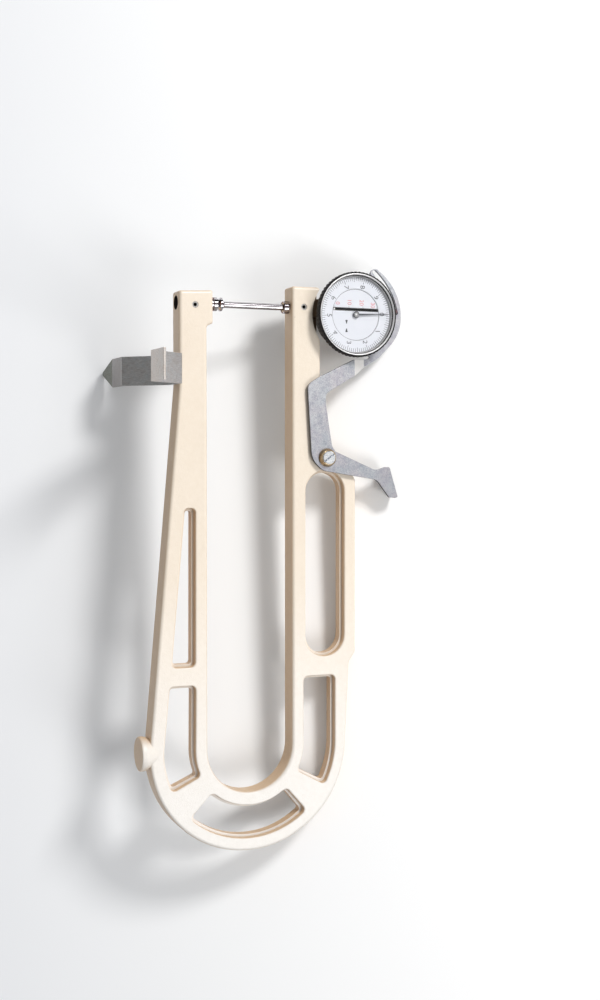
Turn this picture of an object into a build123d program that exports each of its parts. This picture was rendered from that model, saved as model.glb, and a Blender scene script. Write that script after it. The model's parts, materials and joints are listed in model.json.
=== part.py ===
from build123d import *
import os
from math import sin, cos, tan, pi, radians, degrees, atan2, acos, hypot, sqrt

os.makedirs("parts", exist_ok=True)

# ------------------------------------------------------------------ driving dimensions (mm, degrees)
# Everything is drawn in plate axes: X across the throat, Y along the arms towards the open end,
# Z out of the front face. X = 0 is the middle of the throat, Y = 0 the spindle axis, Z = 0 the middle
# of the casting. The finished pieces are then turned to the way the tool lies on a table.
REST_ROLL = 22.043        # the left side is propped up by the stand bracket
REST_PITCH = 2.402        # so that the lower right rear edge of the casting lies flat on the table

FRAME_T = 15.0            # thickness of the casting
THROAT_HALF = 28.5        # half the gap between the arms
THROAT_Y = -280.0         # centre of the rounded end
THROAT_R = 28.5
OUTER_R = 66.0
ARM_L_X = -46.5           # outer face of the left arm at the anvil
ARM_L_TOP = 8.0
BOSS_X = -24.5            # face of the anvil boss
ARM_R_X = 48.0            # outer face of the right arm
ARM_R_TOP = 13.0
GRIP_X = 72.9             # outer face of the grip
RIM_ROUND = 2.0
LOCK_Y = -1.5             # the anvil's lock screw sits a little off the axis
WINDOW_ROUND = 1.0
WEB_HALF = 3.0            # half thickness of the web left inside each window
WEB_INSET = 1.5

FOOT_X = -71.6            # plane of the foot face and the bracket flanges
FOOT_R = 10.8

DIAL_X, DIAL_Y = 69.4, -4.4
CASE_R = 20.0
CASE_WALL = 1.5
CASE_BACK_Z = -5.0
COVER_T = 0.9
CASE_FRONT_Z = 10.2     # where the case widens to a cup that carries the bezel
CUP_R = 24.5
CUP_Z = 12.9
BEZEL_R = 27.4
BEZEL_Z0, BEZEL_Z1 = 11.0, 18.6
POCKET_R = 27.2           # the right arm is relieved behind the bezel
POCKET_Z = 0.5
FACE_Z = 14.6             # printed face of the scale ring
CENTRE_Z = 14.3           # the centre of the dial lies a little lower
ZERO_TURN = 3.0           # pointer and zero mark stand this far above the X axis, degrees
SLOT_Y = -1.0             # slot of the inner bar, a little below the spindle axis

ROD_R = 2.0               # thin part of the spindle, seen in the throat
SPINDLE_R = 3.1           # thick part, inside stem and case
STEM_R = 4.0
TRAVEL = 30.0
ANVIL_FACE_X = -19.2
CONTACT_R = 4.3
CAP_X0, CAP_X1 = 96.0, 105.9
PIN_X = 102.2             # lift pin at rest
PIN_R = 1.25
SLOT_HALF = 1.5

TEETH = 16
RACK_PITCH = 0.625        # sixteen teeth make one turn every 10 mm
PITCH_R = TEETH * RACK_PITCH / (2 * pi)
ADD, DED = 0.19, 0.26
BACKLASH = 0.10

PIVOT_X, PIVOT_Y = 51.2, -96.2
LEVER_SWING = 23.2        # degrees over the whole travel
LEVER_Z0, LEVER_Z1 = 8.7, 10.8
LINK_Z0, LINK_Z1 = 3.6, 5.7

STRIP_T = 1.6             # bracket sheet
BRACKET_W = 18.6
BRACKET_Y = -41.4
BRACKET_TURN = 0.6

parts = {}


# ------------------------------------------------------------------ helpers
def rounded(points):
    """Closed face through (x, y, radius) corners, each rounded by its own radius."""
    n = len(points)
    edges, last, first = [], None, None
    for i in range(n):
        x, y, r = points[i]
        ax, ay, _ = points[i - 1]
        bx, by, _ = points[(i + 1) % n]
        ua, ub = (ax - x, ay - y), (bx - x, by - y)
        la, lb = hypot(*ua), hypot(*ub)
        ua, ub = (ua[0] / la, ua[1] / la), (ub[0] / lb, ub[1] / lb)
        if r <= 0:
            start = end = (x, y)
            mid = None
        else:
            dot = max(-1.0, min(1.0, ua[0] * ub[0] + ua[1] * ub[1]))
            half = acos(dot) / 2
            t = r / tan(half)
            start = (x + ua[0] * t, y + ua[1] * t)
            end = (x + ub[0] * t, y + ub[1] * t)
            bis = (ua[0] + ub[0], ua[1] + ub[1])
            lbis = hypot(*bis)
            d = r / sin(half) - r
            mid = (x + bis[0] / lbis * d, y + bis[1] / lbis * d)
        if last is not None and hypot(start[0] - last[0], start[1] - last[1]) > 1e-4:
            edges.append(Line(last, start))
        elif last is not None:
            start = last
        if first is None:
            first = start
        if mid is not None:
            edges.append(ThreePointArc(start, mid, end))
        last = end
    if hypot(first[0] - last[0], first[1] - last[1]) > 1e-4:
        edges.append(Line(last, first))
    return make_face(Wire(edges).edges())


def slab(face, z0, z1):
    return Pos(0, 0, z0) * extrude(face, z1 - z0)


def rod(x, y, z0, z1, r, r2=None):
    """Cylinder or cone along Z."""
    if r2 is None:
        return Pos(x, y, (z0 + z1) / 2) * Cylinder(r, z1 - z0)
    return Pos(x, y, (z0 + z1) / 2) * Cone(r, r2, z1 - z0)


def bar(x0, x1, r, y=0.0, z=0.0, r2=None):
    """Cylinder or cone along X, r at x0 and r2 at x1."""
    body = Cylinder(r, x1 - x0) if r2 is None else Cone(r, r2, x1 - x0)
    return Pos((x0 + x1) / 2, y, z) * Rot(0, 90, 0) * body


def box(x0, x1, y0, y1, z0, z1):
    return Pos((x0 + x1) / 2, (y0 + y1) / 2, (z0 + z1) / 2) * Box(x1 - x0, y1 - y0, z1 - z0)


def spun(profile, x=DIAL_X, y=DIAL_Y):
    """Solid of revolution about a Z axis through (x, y); profile holds (radius, z) corners."""
    face = make_face(Polyline([(r, 0, z) for r, z in profile] + [(profile[0][0], 0, profile[0][1])]).edges())
    return Pos(x, y, 0) * revolve(face, Axis.Z, 360)


def spun_x(profile):
    """Solid of revolution about the spindle axis; profile holds (x, radius) corners."""
    face = make_face(Polyline([(x, r, 0) for x, r in profile] + [(profile[0][0], profile[0][1], 0)]).edges())
    return revolve(face, Axis.X, 360)


def hexagon(af):
    return RegularPolygon(af / 2 / cos(pi / 6), 6)


def polar(r, deg, cx=0.0, cy=THROAT_Y):
    return (cx + r * cos(radians(deg)), cy + r * sin(radians(deg)))


def soften(shape, edges, r):
    """Rounds the edges, with a smaller radius if the first one does not close."""
    for k in (1.0, 0.8, 0.6, 0.4):
        try:
            out = fillet(edges, r * k)
            if out.is_valid:
                return out
        except Exception:
            pass
    print("edges left sharp", round(shape.volume))
    return shape


# ------------------------------------------------------------------ frame casting
def tangent_x(px, py, side, level):
    """Where the line from (px, py) that touches the outer circle reaches the height level."""
    dx, dy = -px, THROAT_Y - py
    d = hypot(dx, dy)
    from math import asin
    a = atan2(dy, dx) + side * asin(OUTER_R / d)
    return px + cos(a) * (level - py) / sin(a)


FLOOR_Y = THROAT_Y - OUTER_R
left_low = tangent_x(ARM_L_X, -52.0, -1, FLOOR_Y)
right_low = tangent_x(68.6, -229.5, 1, FLOOR_Y)
outline = rounded([
    (THROAT_HALF, THROAT_Y - THROAT_R, THROAT_R),
    (THROAT_HALF, ARM_R_TOP, 1.6),
    (ARM_R_X, ARM_R_TOP, 2.0),
    (ARM_R_X, -84.5, 5.0),
    (54.0, -91.5, 6.0),
    (69.5, -104.5, 4.0),
    (GRIP_X, -110.5, 5.0),
    (GRIP_X, -223.0, 4.0),
    (68.6, -229.5, 5.0),
    (right_low, FLOOR_Y, OUTER_R),
    (left_low, FLOOR_Y, OUTER_R),
    (ARM_L_X, -52.0, 20.0),
    (ARM_L_X, ARM_L_TOP - 1.1, 1.5),
    (BOSS_X, ARM_L_TOP, 1.2),
    (BOSS_X, -12.6, 1.5),
    (-THROAT_HALF, -14.4, 2.0),
    (-THROAT_HALF, THROAT_Y - THROAT_R, THROAT_R),
])


def sector(r0, r1, a0, a1):
    return make_face(Wire([
        Line(polar(r0, a0), polar(r1, a0)),
        ThreePointArc(polar(r1, a0), polar(r1, (a0 + a1) / 2), polar(r1, a1)),
        Line(polar(r1, a1), polar(r0, a1)),
        ThreePointArc(polar(r0, a1), polar(r0, (a0 + a1) / 2), polar(r0, a0)),
    ]).edges())


def slant(y, wall):
    """X of the line that runs wall mm inside the left arm's outer edge."""
    x_low = left_low
    k = (x_low - ARM_L_X) / (FLOOR_Y + 52.0)
    return ARM_L_X + (y + 52.0) * k + wall


def rounded_sketch(face, r):
    for k in (1.0, 0.7, 0.5):
        try:
            out = fillet(face.vertices(), r * k)
            if out.faces():
                return out.faces()[0]
        except Exception:
            pass
    return face


def windows(inset):
    """The five windows, each inset mm smaller all round."""
    i = inset
    grip = rounded([(37.7 + i, -104.4 - i, 13.55 - i), (64.8 - i, -104.4 - i, 13.55 - i),
                    (64.8 - i, -224.6 + i, 13.55 - i), (37.7 + i, -224.6 + i, 13.55 - i)])
    top = -237.2 - i
    quad = make_face(Polyline([(36.4 + i, top), (58.3 - i, top), (58.3 - i, THROAT_Y), (36.4 + i, THROAT_Y), (36.4 + i, top)]).edges())
    right_low_w = quad + sector(36.4 + i, 58.3 - i, -29.0 + i * 1.25, 0)
    right_low_w = rounded_sketch(Sketch() + right_low_w, 3.0 - i * 0.7)
    bottom = rounded_sketch(Sketch() + sector(37.0 + i, 58.0 - i, 226.2 + i * 1.2, 311.0 - i * 1.2), 3.2 - i * 0.7)
    upper = rounded([(slant(-127.8, 9.6) + i, -127.8 - i, 2.6 - i * 0.7), (-36.3 - i, -127.8 - i, 2.6 - i * 0.7),
                     (-36.6 - i, -226.8 + i, 3.2 - i * 0.7), (slant(-226.8, 9.6) + i * 1.05, -226.8 + i, 3.2 - i * 0.7)])
    top = -238.6 - i
    quad = make_face(Polyline([(slant(top, 9.3) + i, top), (-36.3 - i, top), (-36.6 - i, THROAT_Y),
                               (-57.2 + i, THROAT_Y), (slant(top, 9.3) + i, top)]).edges())
    left_low_w = quad + sector(36.6 + i, 57.2 - i, 180.0, 205.5 - i * 1.3)
    left_low_w = rounded_sketch(Sketch() + left_low_w, 3.0 - i * 0.7)
    return [grip, right_low_w, bottom, upper, left_low_w]


frame = slab(outline, -FRAME_T / 2, FRAME_T / 2)
rim = frame.faces().sort_by(Axis.Z)[-1].edges() + frame.faces().sort_by(Axis.Z)[0].edges()
frame = soften(frame, rim, RIM_ROUND)
outer_w, inner_w = windows(0.0), windows(WEB_INSET)
for wide, narrow in zip(outer_w, inner_w):
    for z0, z1 in ((WEB_HALF, FRAME_T / 2 + 1), (-FRAME_T / 2 - 1, -WEB_HALF)):
        frame = frame - slab(wide, z0, z1)
    frame = frame - slab(narrow, -WEB_HALF - 0.5, WEB_HALF + 0.5)
half = FRAME_T / 2
lips = ShapeList()
for e in frame.edges():
    b = e.bounding_box()
    if abs(abs(b.min.Z) - half) < 1e-3 and abs(b.max.Z - b.min.Z) < 1e-3:
        c = e.center()
        for wide in outer_w:
            w = wide.bounding_box()
            if w.min.X - 0.2 <= c.X <= w.max.X + 0.2 and w.min.Y - 0.2 <= c.Y <= w.max.Y + 0.2:
                lips.append(e)
                break
frame = soften(frame, lips, WINDOW_ROUND)
# pocket in the right arm behind the dial; a boss stays round the stem
pocket = rod(DIAL_X, DIAL_Y, POCKET_Z, half + 1, POCKET_R) & box(THROAT_HALF, ARM_R_X + 1, DIAL_Y - 40, DIAL_Y + 40, -half, half + 1)
frame = frame - (pocket - box(THROAT_HALF, ARM_R_X + 2, -5.6, 5.6, 0, 5.4))
# rear foot: a round pad with a softened edge and a conical root
foot = Pos(0, THROAT_Y, 0) * spun_x([(FOOT_X, 0), (FOOT_X, FOOT_R - 0.9), (FOOT_X + 0.25, FOOT_R - 0.35), (FOOT_X + 0.9, FOOT_R),
                                     (-69.0, FOOT_R), (-68.0, FOOT_R - 0.2), (-59.6, 7.3), (-57.8, 7.0), (-57.8, 0)])
hollow = slab(windows(-0.05)[4], -20, 20)
frame = frame + (foot - hollow)
# bores: anvil, lock screws, dial stem, lever pivot, bracket screws
frame = frame - bar(ARM_L_X - 1, BOSS_X + 1, 4.4)
frame = frame - rod(-36.2, LOCK_Y, 3.0, 9.0, 2.05)
frame = frame - bar(THROAT_HALF - 1, ARM_R_X + 1, 4.05)
frame = frame - rod(36.5, 0, 3.0, 9.0, 2.05)
frame = frame - rod(PIVOT_X, PIVOT_Y, -4.0, 9.0, 2.0)
for y in (BRACKET_Y - 4.6, BRACKET_Y + 4.6):
    frame = frame - bar(ARM_L_X - 2, ARM_L_X + 9.0, 1.7, y)
parts["frame_casting"] = frame

# ------------------------------------------------------------------ anvil side
parts["anvil"] = spun_x([(-35.5, 0), (-35.5, 3.9), (-35.0, 4.35), (-23.6, 4.35), (-23.6, 3.3), (-22.4, 3.3),
                         (-22.4, 4.3), (ANVIL_FACE_X - 1.0, 4.3), (ANVIL_FACE_X, 3.2), (ANVIL_FACE_X, 0)])
adj = bar(-42.6, -35.6, 4.35)
adj = adj - Pos(-42.6, 0, 0) * Rot(0, 90, 0) * extrude(hexagon(4.0), 3.5)
parts["anvil_adjusting_screw"] = adj
lock = rod(-36.2, LOCK_Y, 4.4, 7.1, 2.0)
parts["anvil_lock_screw"] = lock - Pos(-36.2, LOCK_Y, 5.4) * extrude(hexagon(2.0), 3)
lock = rod(36.5, 0, 4.05, 7.1, 2.0)
parts["stem_lock_screw"] = lock - Pos(36.5, 0, 5.2) * extrude(hexagon(2.0), 3)

# ------------------------------------------------------------------ stand bracket, one bent strip
def strip_section(path, t):
    """Face of a strip of thickness t whose outer side follows path, in (x, z)."""
    inner = []
    n = len(path)
    dirs = []
    for a, b in zip(path, path[1:]):
        l = hypot(b[0] - a[0], b[1] - a[1])
        dirs.append(((b[0] - a[0]) / l, (b[1] - a[1]) / l))
    for i, p in enumerate(path):
        d0 = dirs[max(i - 1, 0)]
        d1 = dirs[min(i, n - 2)]
        n0, n1 = (-d0[1], d0[0]), (-d1[1], d1[0])
        k = 1 + n0[0] * n1[0] + n0[1] * n1[1]
        inner.append((p[0] + (n0[0] + n1[0]) / k * t, p[1] + (n0[1] + n1[1]) / k * t))
    pts = [(x, 0, z) for x, z in path] + [(x, 0, z) for x, z in reversed(inner)]
    return make_face(Polyline(pts + [pts[0]]).edges())


WEB_X = ARM_L_X - STRIP_T
TIP_LEN, TIP_BEND = 13.4, 14.5
# from the front flange's end, over the web, to the rear flange; the outer side faces away from the arm
path = [(FOOT_X, 58.0), (FOOT_X, 31.5), (WEB_X, 12.4), (WEB_X, -11.6), (FOOT_X, -36.8), (FOOT_X, -61.0)]
bracket = Pos(0, BRACKET_Y + BRACKET_W / 2, 0) * extrude(strip_section(path, STRIP_T), BRACKET_W, dir=(0, -1, 0))
creases = [e for e in bracket.edges() if e.geom_type == GeomType.LINE and abs(e.length - BRACKET_W) < 1e-3
           and abs(abs(e.center().Z) - 59.5) > 3.0]
bracket = soften(bracket, ShapeList(creases), 1.0)
tip_face = make_face(Polyline([(0, BRACKET_W / 2, 0), (0, -BRACKET_W / 2, 0), (0, -0.9, -TIP_LEN), (0, 0.9, -TIP_LEN),
                               (0, BRACKET_W / 2, 0)]).edges())
tip = extrude(tip_face, STRIP_T, dir=(1, 0, 0))
tip = Pos(FOOT_X, BRACKET_Y, -61.0) * Rot(0, TIP_BEND, 0) * tip
wedge = make_face(Polyline([(FOOT_X, 0, -61.0), (FOOT_X + STRIP_T, 0, -61.0),
                            (FOOT_X + STRIP_T * cos(radians(TIP_BEND)), 0, -61.0 - STRIP_T * sin(radians(TIP_BEND))),
                            (FOOT_X, 0, -61.0)]).edges())
bracket = bracket + tip + Pos(0, BRACKET_Y + BRACKET_W / 2, 0) * extrude(wedge, BRACKET_W, dir=(0, -1, 0))
for y in (BRACKET_Y - 4.6, BRACKET_Y + 4.6):
    bracket = bracket - bar(WEB_X - 1, ARM_L_X + 1, 2.2, y)


def bracket_turn(s):
    return Pos(WEB_X, BRACKET_Y, 0) * Rot(BRACKET_TURN, 0, 0) * Pos(-WEB_X, -BRACKET_Y, 0) * s


bracket = soften(bracket, bracket.edges(), 0.28)
parts["stand_bracket"] = bracket_turn(bracket)
screws = []
for y in (BRACKET_Y - 4.6, BRACKET_Y + 4.6):
    s = bar(WEB_X - 2.4, WEB_X, 3.6, y) + bar(WEB_X, ARM_L_X + 8.0, 1.65, y)
    s = s - Pos(WEB_X - 2.4, y, 0) * Rot(0, 90, 0) * extrude(hexagon(2.5), 1.5)
    s = fillet(s.edges().group_by(Axis.X)[0].filter_by(GeomType.CIRCLE), 0.7)
    screws.append(s)
parts["bracket_screws"] = Compound(children=[s for s in screws])

# ------------------------------------------------------------------ lifting lever and its pivot
# slot: the path of the lift pin seen from the lever, at a constant ratio of swing to travel
def slot_point(s):
    a = radians(LEVER_SWING) * s / TRAVEL
    dx, dy = PIN_X + s - PIVOT_X, -PIVOT_Y
    return (PIVOT_X + dx * cos(a) - dy * sin(a), PIVOT_Y + dx * sin(a) + dy * cos(a))


slot_line = [slot_point(s) for s in (-1.2, 3, 7.5, 12, 16.5, 21, 25.5, 31.0)]
slot_mid = Spline(*[Vector(x, y) for x, y in slot_line])


def link_point(r, deg):
    return (DIAL_X + r * cos(radians(deg)), DIAL_Y + r * sin(radians(deg)))


front_plate = rounded([
    (54.6, -88.6, 2.5), (50.2, -60.5, 3.0), (50.6, -54.9, 4.0), (71.0, -43.0, 0.0), (69.9, -32.9, 0.0),
    (45.8, -44.6, 7.0), (37.6, -49.6, 6.0), (40.6, -97.5, 13.0), (48.5, -104.6, 8.0), (86.5, -110.6, 7.0),
    (95.6, -122.4, 1.0), (101.9, -122.4, 1.0), (95.7, -102.3, 1.2), (92.5, -102.4, 2.5), (86.0, -104.6, 9.0), (57.0, -92.2, 3.0),
])
def sheet_slab(face, z0, z1, keep_sharp, r=0.28):
    """Sheet with slightly broken edges, but for the edges near the points in keep_sharp."""
    s = slab(face, z0, z1)
    rims = ShapeList([e for e in s.faces().sort_by(Axis.Z)[-1].edges() + s.faces().sort_by(Axis.Z)[0].edges()
                      if all(hypot(e.center().X - x, e.center().Y - y) > 0.6 for x, y in keep_sharp)])
    return soften(s, rims, r)


lever = sheet_slab(front_plate, LEVER_Z0, LEVER_Z1, [(70.45, -37.95)])
# link plate behind the bezel, round the right side of the dial
arc_out = [link_point(r, a) for r, a in ((33.4, -56), (33.6, -40), (34.6, -29), (36.2, -13), (36.8, 2), (36.9, 18), (36.8, 34), (36.7, 50), (36.9, 58.2))]
arc_in = [link_point(r, a) for r, a in ((29.0, 56.5), (28.3, 40), (28.0, 20), (28.3, 0), (28.7, -20), (28.9, -40), (28.8, -62))]
link_edge = Wire([
    Line((79.4, -32.4), (79.4, -37.0)),
    Spline((79.4, -37.0), *arc_out, tangents=((0.86, 0.51), (-0.75, 0.66))),
    ThreePointArc(arc_out[-1], link_point(34.2, 62.6), link_point(31.0, 61.6)),
    Spline(link_point(31.0, 61.6), *arc_in, (79.4, -32.4), tangents=((-0.35, -0.94), (-0.97, -0.2))),
])
link = sheet_slab(make_face(link_edge.edges()), LINK_Z0, LINK_Z1, [(79.4, -34.7)])
# the joggle that steps the strip back from the front plate to the link
def joggle():
    a = [(71.0, -43.0), (69.9, -32.9)]
    b = [(79.4, -37.0), (79.4, -32.4)]
    top = Wire.make_polygon([(a[0][0], a[0][1], LEVER_Z1), (a[1][0], a[1][1], LEVER_Z1), (a[1][0], a[1][1], LEVER_Z0), (a[0][0], a[0][1], LEVER_Z0)], close=True)
    low = Wire.make_polygon([(b[0][0], b[0][1], LINK_Z1), (b[1][0], b[1][1], LINK_Z1), (b[1][0], b[1][1], LINK_Z0), (b[0][0], b[0][1], LINK_Z0)], close=True)
    return Solid.make_loft([top, low], ruled=True)


lever = lever + link + joggle()
# thumb flange, bent back along the right edge of the thumb plate
fx0, fy0, fx1, fy1 = 95.9, -103.0, 101.7, -122.0
fl = hypot(fx1 - fx0, fy1 - fy0)
ux, uy = (fx1 - fx0) / fl, (fy1 - fy0) / fl
flange = make_face(Polyline([(fx0, fy0), (fx1, fy1), (fx1 + uy * 2.0, fy1 - ux * 2.0), (fx0 + uy * 2.0, fy0 - ux * 2.0), (fx0, fy0)]).edges())
lever = lever + slab(flange, 1.9, LEVER_Z1 - 0.4)
# slot
sweep_r = SLOT_HALF
slot_parts = Sketch() + [Pos(x, y) * Circle(sweep_r) for x, y in (slot_line[0], slot_line[-1])]
left_side, right_side = [], []
for i in range(25):
    t = i / 24
    p, d = slot_mid @ t, slot_mid % t
    left_side.append((p.X - d.Y * sweep_r, p.Y + d.X * sweep_r))
    right_side.append((p.X + d.Y * sweep_r, p.Y - d.X * sweep_r))
slot_face = make_face(Wire([
    Spline(*[Vector(*q) for q in left_side]), Line(left_side[-1], right_side[-1]),
    Spline(*[Vector(*q) for q in reversed(right_side)]), Line(right_side[0], left_side[0])]).edges())
slot_cut = slab((slot_parts + slot_face).faces()[0], LINK_Z0 - 1, LINK_Z1 + 1)
lever = lever - slot_cut
# the slot is relieved outwards, so that a slim rail of even width stays
relief = make_face(Wire([
    Spline(*[Vector(*link_point(r, a)) for r, a in ((34.5, 7), (34.35, 20), (34.4, 35), (34.9, 48), (35.6, 57))]),
    Line(link_point(35.6, 57), link_point(33.2, 57)),
    ThreePointArc(link_point(33.2, 57), link_point(31.4, 32), link_point(33.2, 7)),
    Line(link_point(33.2, 7), link_point(34.5, 7))]).edges())
lever = lever - slab(relief, LINK_Z0 - 1, LINK_Z1 + 1)
lever = lever - rod(PIVOT_X, PIVOT_Y, 6, 14, 3.05)
parts["lifting_lever"] = lever
washer = rod(PIVOT_X, PIVOT_Y, FRAME_T / 2, LEVER_Z0 - 0.1, 5.6) - rod(PIVOT_X, PIVOT_Y, 6, 14, 2.0)
parts["lever_spacer_washer"] = washer
bush = spun([(2.2, LEVER_Z0 - 0.1), (3.0, LEVER_Z0 - 0.1), (3.0, LEVER_Z1 + 0.1), (5.9, LEVER_Z1 + 0.1), (5.9, LEVER_Z1 + 0.8),
             (5.0, LEVER_Z1 + 2.6), (2.2, LEVER_Z1 + 2.6)], PIVOT_X, PIVOT_Y)
parts["lever_pivot_bush"] = bush
head_z = LEVER_Z1 + 2.6
screw = rod(PIVOT_X, PIVOT_Y, -3.5, head_z, 1.95) + spun([(0, head_z), (4.3, head_z), (4.3, head_z + 0.9), (3.9, head_z + 1.4), (0, head_z + 1.4)], PIVOT_X, PIVOT_Y)
screw = screw - Pos(PIVOT_X, PIVOT_Y, head_z + 1.4) * Rot(0, 0, 37) * Box(10, 1.0, 1.8)
parts["lever_pivot_screw"] = screw

# ------------------------------------------------------------------ dial case
case = spun([(CASE_R - CASE_WALL, CASE_BACK_Z + COVER_T), (CASE_R, CASE_BACK_Z + COVER_T), (CASE_R, CASE_FRONT_Z - 0.8), (CASE_R + 0.8, CASE_FRONT_Z),
             (CUP_R, CASE_FRONT_Z), (CUP_R, CUP_Z), (CUP_R - 1.7, CUP_Z), (CUP_R - 1.7, CASE_FRONT_Z + 0.9), (CASE_R - CASE_WALL, CASE_FRONT_Z + 0.9)])
groove = spun([(CUP_R - 0.75, 11.4), (CUP_R + 1, 11.4), (CUP_R + 1, 12.4), (CUP_R - 0.75, 12.4)])
# pads inside the wall that carry the stem and the upper bush
inside = rod(DIAL_X, DIAL_Y, CASE_BACK_Z + COVER_T, CASE_FRONT_Z, CASE_R - 0.1)
pads = (box(40, 52.6, -6.4, 6.4, CASE_BACK_Z + COVER_T, 6.2) + box(86.9, 99, -6.4, 6.4, CASE_BACK_Z + COVER_T, 6.2)) & inside
case = case + pads
screw_spots = [(DIAL_X + 16.3 * cos(radians(a)), DIAL_Y + 16.3 * sin(radians(a))) for a in (60, 120, 240, 300)]
posts = Part() + [rod(x, y, CASE_BACK_Z + COVER_T, 4.2, 2.7) for x, y in screw_spots]
case = case + (posts & inside)
case = case - groove
case = case - bar(38, 51.5, STEM_R) - bar(50, 60, 3.3)
case = case - bar(80, 100, 3.8)
for x, y in screw_spots:
    case = case - rod(x, y, -6, 1.5, 0.85) - rod(x, y, 2.0, 6, 0.75)
parts["dial_case"] = case

back = rod(DIAL_X, DIAL_Y, CASE_BACK_Z, CASE_BACK_Z + COVER_T, CASE_R)
back = fillet(back.edges().group_by(Axis.Z)[0], 0.5)
for x, y in screw_spots:
    back = back - rod(x, y, CASE_BACK_Z - 1, CASE_BACK_Z + 2, 0.9) - rod(x, y, CASE_BACK_Z - 0.01, CASE_BACK_Z + 0.5, 1.7)
parts["case_back_cover"] = back
bscrews = []
for x, y in screw_spots:
    s = rod(x, y, CASE_BACK_Z + 0.1, CASE_BACK_Z + 0.5, 1.6) + rod(x, y, CASE_BACK_Z + 0.5, 0.8, 0.8)
    s = s - Pos(x, y, CASE_BACK_Z + 0.1) * Rot(0, 0, 25) * Box(4, 0.4, 0.5)
    bscrews.append(s)
parts["back_cover_screws"] = Compound(children=bscrews)

# ------------------------------------------------------------------ stem, bushes, spindle
stem = spun_x([(24.6, 3.25), (24.6, 3.7), (24.9, 4.0), (27.2, 4.0), (27.2, 3.75), (27.6, 3.75), (27.6, 4.0), (51.5, 4.0), (51.5, 3.18), (31.6, 3.18), (31.6, 3.25)])
parts["stem"] = stem
parts["stem_bush"] = spun_x([(24.9, 2.05), (24.9, 3.25), (31.6, 3.25), (31.6, 2.05)])
parts["upper_guide_bush"] = spun_x([(86.9, 3.16), (86.9, 3.8), (89.4, 3.8), (89.4, 4.4), (95.0, 4.4), (95.0, 3.16)])

spindle = spun_x([(-15.2, 0), (-15.2, ROD_R), (32.2, ROD_R), (32.7, SPINDLE_R), (95.9, SPINDLE_R), (95.9, 1.6), (100.6, 1.6), (100.6, 0)])
rack_line = DIAL_Y + PITCH_R            # pitch line of the rack
tip_y, root_y = rack_line - ADD, rack_line + DED
spindle = spindle - box(36.6, 72.4, -5, tip_y, -4, 4)
half_gap = lambda y: (RACK_PITCH / 4 + BACKLASH / 4) + (rack_line - y) * tan(radians(20))
gaps = []
# one gap of the rack is centred on the pinion's axis line, where the pinion has a tooth
for k in range(-55, 6):
    x = DIAL_X + k * RACK_PITCH
    if x < 37.4 or x > 71.6:
        continue
    yb = tip_y - 0.1
    gaps.append(Polyline([(x - half_gap(yb), yb), (x + half_gap(yb), yb), (x + half_gap(root_y), root_y), (x - half_gap(root_y), root_y), (x - half_gap(yb), yb)]))
cutters = [slab(make_face(g.edges()), -2.6, 2.6) for g in gaps]
spindle = spindle - Compound(children=cutters)
parts["spindle_with_rack"] = spindle

contact = spun_x([(ANVIL_FACE_X + 0.05, 0), (ANVIL_FACE_X + 0.05, 3.2), (ANVIL_FACE_X + 1.05, 4.25), (-16.8, 4.25), (-15.8, 2.6), (-15.2, 2.3), (-15.2, 0)])
parts["contact_tip"] = contact
cap = spun_x([(CAP_X0, 1.6), (CAP_X0, 2.8), (CAP_X0 + 0.25, 3.05), (CAP_X1 - 0.8, 3.05), (CAP_X1, 2.3), (CAP_X1, 0), (100.6, 0), (100.6, 1.6)])
cap = cap - rod(PIN_X, 0, 0.5, 4, PIN_R)
parts["spindle_end_cap"] = cap
parts["lift_pin"] = rod(PIN_X, 0, 0.5, 6.3, PIN_R)

# travel marker: a blade that stands on the spindle and shows in the slot of the dial
MARK_X = 54.6
carrier = box(53.4, 56.0, -1.9, 2.3, 1.0, 4.3) - bar(50, 60, SPINDLE_R)
parts["marker_carrier"] = carrier
parts["travel_marker"] = box(MARK_X - 0.35, MARK_X + 0.35, SLOT_Y - 0.5, SLOT_Y + 0.5, 4.3, CENTRE_Z - 0.05)

# ------------------------------------------------------------------ movement
SLOT_X0, SLOT_X1 = 53.9, 85.4
plate = rod(DIAL_X, DIAL_Y, 4.6, 5.6, 18.3) - box(SLOT_X0, SLOT_X1, SLOT_Y - 0.8, SLOT_Y + 0.8, 4, 6)
plate = plate - rod(DIAL_X, DIAL_Y, 4, 6, 1.3)
for x, y in screw_spots:
    plate = plate - rod(x, y, 4, 6, 0.9)
mplate = plate
parts["movement_plate"] = mplate - box(40, 52.8, -6.8, 6.8, 4, 6.4) - box(86.7, 99, -6.8, 6.8, 4, 6.4)
spacers = []
for x, y in screw_spots:
    spacers.append(rod(x, y, 4.2, 4.6, 2.0) - rod(x, y, 4, 5, 0.9))
parts["plate_spacers"] = Compound(children=spacers)
ms = []
for x, y in screw_spots:
    s = rod(x, y, 5.6, 6.5, 1.6) + rod(x, y, 2.4, 5.6, 0.7)
    s = s - Pos(x, y, 6.5) * Rot(0, 0, -20) * Box(4, 0.4, 0.8)
    ms.append(s)
parts["movement_screws"] = Compound(children=ms)
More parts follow.
